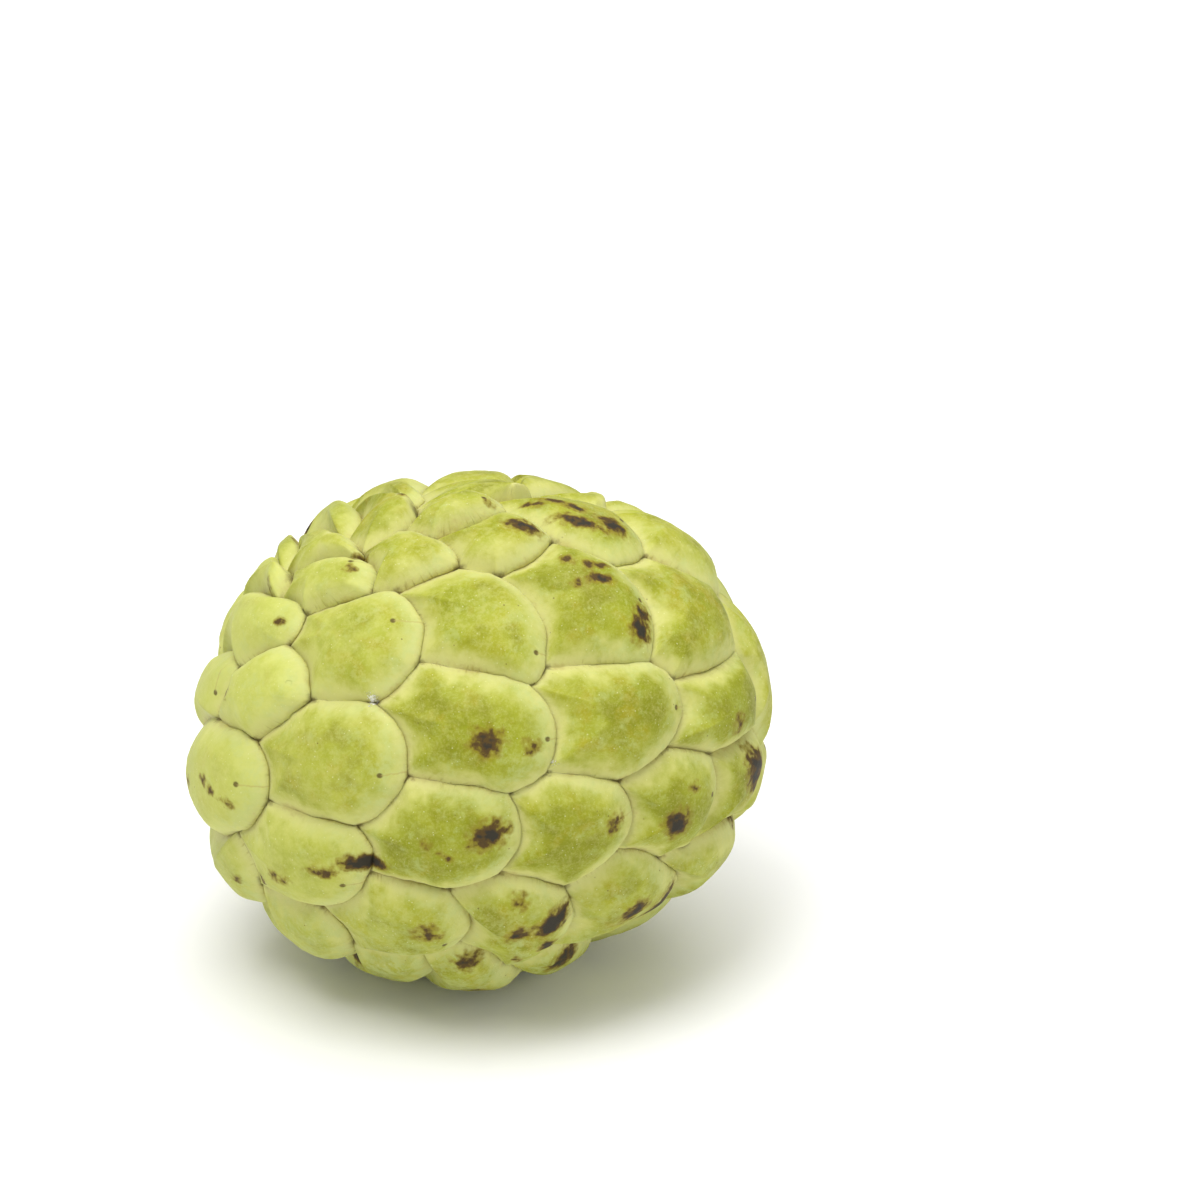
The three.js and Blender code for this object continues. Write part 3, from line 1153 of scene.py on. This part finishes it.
class Skin:
    """What the coats of the rind read, and the patterns that several of them share."""

    def __init__(self, bench: Bench) -> None:
        """Reads the numbers that the mesh holds, and sets up the shared patterns.

        Args:
            bench: the material's node tree.
        """
        self.bench = bench
        self.mm = bench.millimetres()
        self.x_mm, _, self.z_mm = bench.split(self.mm)
        self.edge, facing, self.folded = bench.attribute("edge")
        self.along, self.across, share = bench.attribute("place")
        self.tip_along, self.tip_across, self.has_tip = bench.attribute("tip")
        bruising, self.crumbling, self.corner_gap = bench.attribute("mark")
        self.tint, self.blush, self.own = bench.attribute("tone")
        self.patch = bench.noise(self.mm, 0.30, 2, 0.55)
        self.mottle = bench.noise(self.mm, 1.1, 4, 0.65)
        self.cloud = bench.noise(self.mm, 0.19, 3, 0.55)
        self.grain = bench.noise(self.mm, 5.0, 3, 0.6)
        self.depth = self.edge + (self.patch - 0.5) * 6.0 + (self.mottle - 0.5) * 1.1
        self.lip = bench.step(facing, -0.1, 0.75) * bench.step(share, 0.62, 0.93)
        blot = bench.noise(self.mm, 0.85, 2, 0.5)
        self.ragged = bruising + (blot - 0.5) * 1.5 + (self.grain - 0.5) * 0.12
        self.hurt = bench.step(bruising, 0.10, 0.30)


@dataclass(frozen=True)
class RindFinish:
    """Waxy green skin, paler at the rims, with brown seams, specks and bruises, painted shade
    in the corner pits, a painted highlight on the far lips and a painted reflection low on the
    fruit.
    """

    cream: Colour = (0.555, 0.55, 0.175)
    rim: Colour = (0.59, 0.575, 0.23)
    lime: Colour = (0.375, 0.40, 0.040)
    green: Colour = (0.235, 0.265, 0.006)
    olive: Colour = (0.175, 0.175, 0.005)
    yellow: Colour = (0.36, 0.35, 0.018)
    ochre: Colour = (0.34, 0.29, 0.012)
    # Pale wax colour, also used as a painted highlight on the far lips and a painted reflection
    # low on the fruit.
    wax_and_sheen: Colour = (0.47, 0.53, 0.19)
    pale_end: Colour = (0.56, 0.59, 0.15)
    stain: Colour = (0.42, 0.34, 0.10)
    seam: Colour = (0.25, 0.185, 0.06)
    bruise_edge: Colour = (0.22, 0.16, 0.010)
    # Bruise brown, also used as painted shade in the corner pits where seams meet.
    bruise: Colour = (0.085, 0.050, 0.012)
    bruise_dark: Colour = (0.028, 0.027, 0.020)
    speck: Colour = (0.66, 0.68, 0.34)
    fleck: Colour = (0.13, 0.085, 0.02)
    crumb: Colour = (0.80, 0.80, 0.70)

    def material(self) -> bpy.types.Material:
        """Builds the material.

        Returns:
            The material for the rind.
        """
        skin = Skin(Bench("rind_skin"))
        bench, lip = skin.bench, skin.lip
        coats = self._flesh(skin) + self._wax_and_sheen_coats(skin)
        rough = 0.50 + 0.10 * skin.mottle + 0.10 * lip
        height = skin.mottle * 0.10 + skin.grain * 0.035 + skin.patch * 0.16
        for part in (self._specks, self._seams, self._bruises, self._crumbs, self._tips):
            more, raised = part(skin)
            coats += more
            height = height + raised
        rough = rough + bench.step(skin.ragged, 0.5, 0.7) * skin.hurt * 0.1
        ground = bench.mix(bench.step(skin.depth, -0.2, 4.6), self.cream, self.lime)
        return bench.finish(
            {"Specular IOR Level": 0.18, "Subsurface Weight": 0.12,
             "Subsurface Radius": (1.0, 0.9, 0.25), "Subsurface Scale": 0.0022},
            Base_Color=bench.coated(ground, coats), Roughness=rough,
            Normal=bench.bump(height, 1.0, 0.9))

    def _flesh(self, skin: Skin) -> list[Coat]:
        """The green of each scale, deeper in its middle, and the pale stalk end.

        Args:
            skin: what the coats read.

        Returns:
            The coats, first the lowest.
        """
        b, mm, depth, tint = skin.bench, skin.mm, skin.depth, skin.tint
        broad = b.noise(mm, 0.09, 3)
        streak = b.noise(b.joined(skin.along * 0.30, skin.across, skin.own * 70), 0.62, 3, 0.6)
        warm = b.step(b.noise(mm, 0.14, 2), 0.44, 0.62)
        heart = b.step(depth + tint * 1.0, 1.0, 6.2)
        core = heart * b.step(
            broad + 0.15 * tint + 0.4 * skin.patch + 0.35 * streak, 0.66, 1.16)
        shade = b.step(skin.cloud + 0.07 * tint + 0.25 * streak, 0.56, 0.86)
        ripe = b.step(b.noise(mm, 0.27, 3, 0.6) + 0.06 * skin.blush, 0.53, 0.70)
        curd = b.step(b.noise(mm, 0.75, 5, 0.72), 0.44, 0.64)
        fine = b.step(b.noise(mm, 2.4, 4, 0.7), 0.46, 0.64)
        pale = 1 - b.step(skin.x_mm + (skin.patch - 0.5) * 30, -38.0, -4.0)
        return [
            (warm * 0.5 * b.step(depth, 0.8, 3.4), self.yellow),
            (core * 0.82, self.green),
            (shade * b.step(depth, 1.8, 6.0) * 0.6, self.olive),
            (ripe * heart * 0.55, self.ochre),
            (curd * (0.30 - 0.14 * tint), self.cream),
            (fine * 0.20, self.cream),
            (pale * (0.42 - 0.25 * tint), self.pale_end),
        ]

    def _wax_and_sheen_coats(self, skin: Skin) -> list[Coat]:
        """Pale wax in random patches, with a painted highlight on the far lips and a painted
        reflection of the white floor low on the fruit.

        Args:
            skin: what the coats read.

        Returns:
            The coats, first the lowest.
        """
        b = skin.bench
        wax = b.step(b.noise(skin.mm, 0.5, 4, 0.7), 0.42, 0.60)
        veil = b.step(b.noise(skin.mm, 0.23, 4, 0.7), 0.50, 0.64)
        # Painted reflection: the pale wax colour grows towards the bottom of the fruit, where
        # the white floor lights it from below.
        low = 1 - b.step(skin.z_mm, 6.0, 34.0)
        # The first coat is a painted highlight on the far lips over pale wax; the second is the
        # painted reflection low down; the veil is the wax itself.
        masks = (skin.lip * (0.25 + 0.6 * wax) * 0.7, low * wax * 0.5, veil * wax * 0.35)
        return [(mask, self.wax_and_sheen) for mask in masks]

    def _specks(self, skin: Skin) -> tuple[list[Coat], Sock]:
        """Fine pale dots and scattered brown flecks, and how far the dots are raised.

        Args:
            skin: what the coats read.

        Returns:
            The coats, first the lowest, and the height they add in millimetres.
        """
        b = skin.bench
        dots, _ = b.cells(skin.mm, 1.25)
        dot_mask = (1 - b.step(dots, 0.07, 0.17)) * b.step(skin.mottle, 0.44, 0.56)
        flecks, chance = b.cells(skin.mm, 0.42)
        fleck_mask = (1 - b.step(flecks, 0.03, 0.075)) * b.step(chance, 0.62, 0.66)
        return [(dot_mask * 0.6, self.speck), (fleck_mask * 0.7, self.fleck)], dot_mask * 0.02

    def _seams(self, skin: Skin) -> tuple[list[Coat], Sock]:
        """Pale rims, brown ticks across the seams, painted shade in the corner pits, and the
        seam's own line.

        Args:
            skin: what the coats read.

        Returns:
            The coats, first the lowest, and the height they add in millimetres.
        """
        b, edge, patch, mottle = skin.bench, skin.edge, skin.patch, skin.mottle
        comb = b.noise(b.joined(skin.folded, edge * 0.16, skin.own * 90), 2.3, 2)
        ticks = (b.step(comb, 0.54, 0.66) * (1 - b.step(edge, 0.10, 1.1))
                 * b.step(patch, 0.44, 0.56))
        rim = 1 - b.step(edge + (comb - 0.5) * 1.4 + (mottle - 0.5) * 1.6, 0.3, 2.0)
        near_seam = ((1 - b.step(edge + (mottle - 0.5) * 2.5, 0.0, 1.0))
                     * b.step(skin.cloud, 0.42, 0.58))
        # Painted shade: the corners where seams meet are darkened with the bruise colour,
        # standing in for the shadow in the pits there.
        pit = 1 - b.step(skin.corner_gap + (mottle - 0.5) * 3.0, 0.2, 1.5)
        line = 1 - b.step(edge + (comb - 0.5) * 0.30, 0.01, 0.12)
        worn = b.step(patch + 0.6 * mottle, 0.72, 0.88)
        coats = [
            (rim * 0.55, self.rim),
            (near_seam * 0.45, self.stain),
            (ticks * 0.34, self.bruise_edge),
            (pit * (1 - b.step(edge, 0.15, 0.9)) * 0.7, self.bruise),
            (line * (0.08 + 0.5 * worn), self.seam),
        ]
        return coats, ticks * -0.06 - line * 0.03

    def _bruises(self, skin: Skin) -> tuple[list[Coat], Sock]:
        """Ragged bruises, darkest in the middle, which sink a little.

        Args:
            skin: what the coats read.

        Returns:
            The coats, first the lowest, and the height they add in millimetres.
        """
        b, ragged, hurt = skin.bench, skin.ragged, skin.hurt
        coats = [
            (b.step(ragged, 0.10, 0.62) * hurt * 0.8, self.bruise_edge),
            (b.step(ragged, 0.48, 0.80) * hurt, self.bruise),
            (b.step(ragged, 0.84, 1.10) * hurt * 0.9, self.bruise_dark),
        ]
        return coats, b.step(ragged, 0.5, 0.75) * hurt * -0.05

    def _crumbs(self, skin: Skin) -> tuple[list[Coat], Sock]:
        """White crumbs of dried sap, which stand proud.

        Args:
            skin: what the coats read.

        Returns:
            The coats, first the lowest, and the height they add in millimetres.
        """
        b, amount = skin.bench, skin.crumbling
        crumb = b.step(amount + (b.noise(skin.mm, 3.2, 3, 0.7) - 0.5) * 2.6, 0.62, 0.78)
        crumb = crumb * b.step(amount, 0.12, 0.30)
        return [(crumb * 0.9, self.crumb)], crumb * 0.25

    def _tips(self, skin: Skin) -> tuple[list[Coat], Sock]:
        """The dried dot at the tip of a scale, with a fine thread to the seam.

        Args:
            skin: what the coats read.

        Returns:
            The coats, first the lowest, and the height they add in millimetres.
        """
        b, along, across, own = skin.bench, skin.tip_along, skin.tip_across, skin.own
        off_tip = b.length(b.joined(along, across, 0.0))
        dot = (1 - b.step(off_tip, 0.22, 0.48)) * skin.has_tip
        thread = ((1 - b.step(abs(across + (skin.mottle - 0.5) * 0.5), 0.05, 0.16))
                  * b.step(along, 0.0, 0.3) * (1 - b.step(along, 3.0, 5.0)) * skin.has_tip)
        coats = [
            (dot * b.step(own, 0.2, 0.3) * 0.85, self.bruise),
            (thread * b.step(own, 0.3, 0.4) * 0.5, self.stain),
        ]
        return coats, dot * -0.12


@dataclass(frozen=True)
class StalkFinish:
    """Dry brown bark with lengthwise fibres, and a paler cut end with a dark pith."""

    axis: Point
    foot: Point
    bark: Colour = (0.20, 0.13, 0.060)
    bark_dark: Colour = (0.065, 0.042, 0.022)
    bark_pale: Colour = (0.38, 0.31, 0.18)
    wood: Colour = (0.40, 0.29, 0.14)
    pith: Colour = (0.09, 0.055, 0.028)
    cut_height: float = 4.7
    fibre_stretch: float = 0.18

    def material(self) -> bpy.types.Material:
        """Builds the material.

        Returns:
            The material for the stalk.
        """
        b = Bench("stalk_bark")
        mm = b.millimetres()
        from_foot = b.vector("SUBTRACT", mm, self.foot)
        height = b.node("ShaderNodeVectorMath", {"operation": "DOT_PRODUCT"},
                        {0: from_foot, 1: self.axis}, 1)
        lengthwise = b.vector("PROJECT", from_foot, self.axis)
        outward = b.vector("SUBTRACT", from_foot, lengthwise)
        radius = b.length(outward)
        drawn = b.vector("ADD", outward, b.scaled(lengthwise, self.fibre_stretch))
        fibre = b.noise(drawn, 2.2, 4, 0.65)
        lump = b.noise(mm, 0.9, 3)
        colour = b.mix(b.step(fibre, 0.36, 0.62), self.bark_dark, self.bark)
        colour = b.mix(b.step(lump + 0.4 * fibre, 0.62, 0.86) * 0.7, colour, self.bark_pale)
        rings = b.noise(b.joined(radius, 0.0, 4.0), 3.4, 2)
        rays = b.noise(drawn, 5.5, 2)
        face = b.mix(b.step(rings * 0.7 + rays * 0.3, 0.4, 0.64), self.bark, self.wood)
        face = b.mix(1 - b.step(radius + (lump - 0.5) * 0.6, 0.35, 0.75), face, self.pith)
        on_cut = b.step(height, self.cut_height, self.cut_height + 0.3) * (
            1 - b.step(radius, 1.95, 2.25))
        colour = b.mix(on_cut, colour, face)
        relief = fibre * 0.35 + lump * 0.2 + rays * on_cut * 0.15
        return b.finish({"Specular IOR Level": 0.25}, Base_Color=colour,
                        Roughness=0.78 + 0.14 * fibre, Normal=b.bump(relief, 0.8, 0.9))


@dataclass(frozen=True)
class TableFinish:
    """A plain white tabletop with the faintest unevenness."""

    white: Colour = (0.93, 0.93, 0.93)
    off_white: Colour = (0.91, 0.91, 0.91)

    def material(self) -> bpy.types.Material:
        """Builds the material.

        Returns:
            The material for the floor.
        """
        b = Bench("table_white")
        cloud = b.noise(b.millimetres(), 0.01, 2)
        return b.finish({"Specular IOR Level": 0.1, "Roughness": 0.85},
                        Base_Color=b.mix(b.step(cloud, 0.4, 0.6), self.white, self.off_white))


# ------------------------------------------------------------------ stage

@dataclass(frozen=True)
class Lamp:
    """A square soft light: its place from the fruit and width in millimetres, and watts."""

    name: str
    place: Point
    size: float
    power: float


@dataclass
class Studio:
    """Floor, soft light and the camera."""

    body: FruitBody
    azimuth: float = -5.0
    elevation: float = 26.0
    distance: float = 1000.0
    view_width: float = 172.7
    aim_right: float = 17.9
    aim_up: float = 18.4
    sensor_width: float = 36.0
    clip: Pair = (0.01, 50.0)
    surroundings: float = 0.51
    floor_size: float = 12.0
    floor_parts: int = 8
    lamps: tuple[Lamp, ...] = (
        Lamp("key_light", (-260, -330, 980), 600, 8.0),
        Lamp("top_light", (220, 160, 1000), 800, 5.0),
        Lamp("fill_light", (700, -700, 450), 700, 1.5),
    )

    def build(self) -> bpy.types.Object:
        """Sets up everything round the fruit.

        Returns:
            The floor.
        """
        self._camera()
        self._world()
        for lamp in self.lamps:
            self._hang(lamp)
        return self._floor()

    def _axes(self) -> tuple[Vector, Vector, Vector]:
        """The camera's own directions.

        Returns:
            Its right, its up, and the way back from the fruit to it.
        """
        a, e = math.radians(self.azimuth), math.radians(self.elevation)
        return (Vector((math.cos(a), math.sin(a), 0)),
                Vector((-math.sin(a) * math.sin(e), math.cos(a) * math.sin(e), math.cos(e))),
                Vector((math.sin(a) * math.cos(e), -math.cos(a) * math.cos(e), math.sin(e))))

    def _camera(self) -> None:
        """Places the camera and makes it the scene's own."""
        right, up, back = self._axes()
        aim = Vector(self.body.centre) + right * self.aim_right + up * self.aim_up
        data = bpy.data.cameras.new("camera")
        data.sensor_width = self.sensor_width
        data.lens = self.sensor_width * self.distance / self.view_width
        data.clip_start, data.clip_end = self.clip
        camera = bpy.data.objects.new("camera", data)
        bpy.context.scene.collection.objects.link(camera)
        turn = Matrix((right, up, back)).transposed().to_4x4()
        camera.matrix_world = Matrix.Translation((aim + back * self.distance) * MM) @ turn
        bpy.context.scene.camera = camera

    def _world(self) -> None:
        """Even white surroundings."""
        world = bpy.data.worlds.new("surroundings")
        world.use_nodes = True
        backdrop = world.node_tree.nodes["Background"]
        backdrop.inputs["Color"].default_value = (1.0, 1.0, 1.0, 1.0)
        backdrop.inputs["Strength"].default_value = self.surroundings
        bpy.context.scene.world = world
        bpy.context.scene.view_settings.view_transform = "Standard"

    def _hang(self, lamp: Lamp) -> None:
        """Hangs a light that faces the fruit.

        Args:
            lamp: the light's place, width and power.
        """
        data = bpy.data.lights.new(lamp.name, "AREA")
        data.shape, data.size, data.energy = "SQUARE", lamp.size * MM, lamp.power
        hung = bpy.data.objects.new(lamp.name, data)
        bpy.context.scene.collection.objects.link(hung)
        hung.location = (Vector(self.body.centre) + Vector(lamp.place)) * MM
        hung.rotation_euler = Vector(lamp.place).to_track_quat("Z", "Y").to_euler()

    def _floor(self) -> bpy.types.Object:
        """Lays a large plain floor.

        Returns:
            The floor.
        """
        bpy.ops.object.select_all(action="DESELECT")
        bpy.ops.mesh.primitive_grid_add(
            x_subdivisions=self.floor_parts, y_subdivisions=self.floor_parts,
            size=self.floor_size)
        floor = bpy.context.object
        floor.name = floor.data.name = "floor"
        floor.data.materials.append(TableFinish().material())
        return floor


# ------------------------------------------------------------------ assembly

def dress(piece: bpy.types.Object, material: bpy.types.Material, node: str) -> None:
    """Gives a piece its finish and ties it to the frame.

    Args:
        piece: the finished piece.
        material: its material.
        node: the CAD node that it stands for.
    """
    piece.data.materials.clear()
    piece.data.materials.append(material)
    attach(piece, "root")
    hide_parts(node)
    piece.data.calc_loop_triangles()
    log.info("%s: %d triangles", piece.name, len(piece.data.loop_triangles))


def main() -> None:
    """Builds every piece in order."""
    body = FruitBody()
    rind = Rind(body).build()
    dress(rind, RindFinish().material(), "fruit")

    cut_stalk = Stalk(body)
    bark = StalkFinish(tuple(body.stalk_axis), tuple(cut_stalk.foot))
    dress(cut_stalk.build(), bark.material(), "stalk_stub")

    Studio(body).build()
    log.info("camera, lights and floor are in place")


if __name__ == "__main__":
    main()
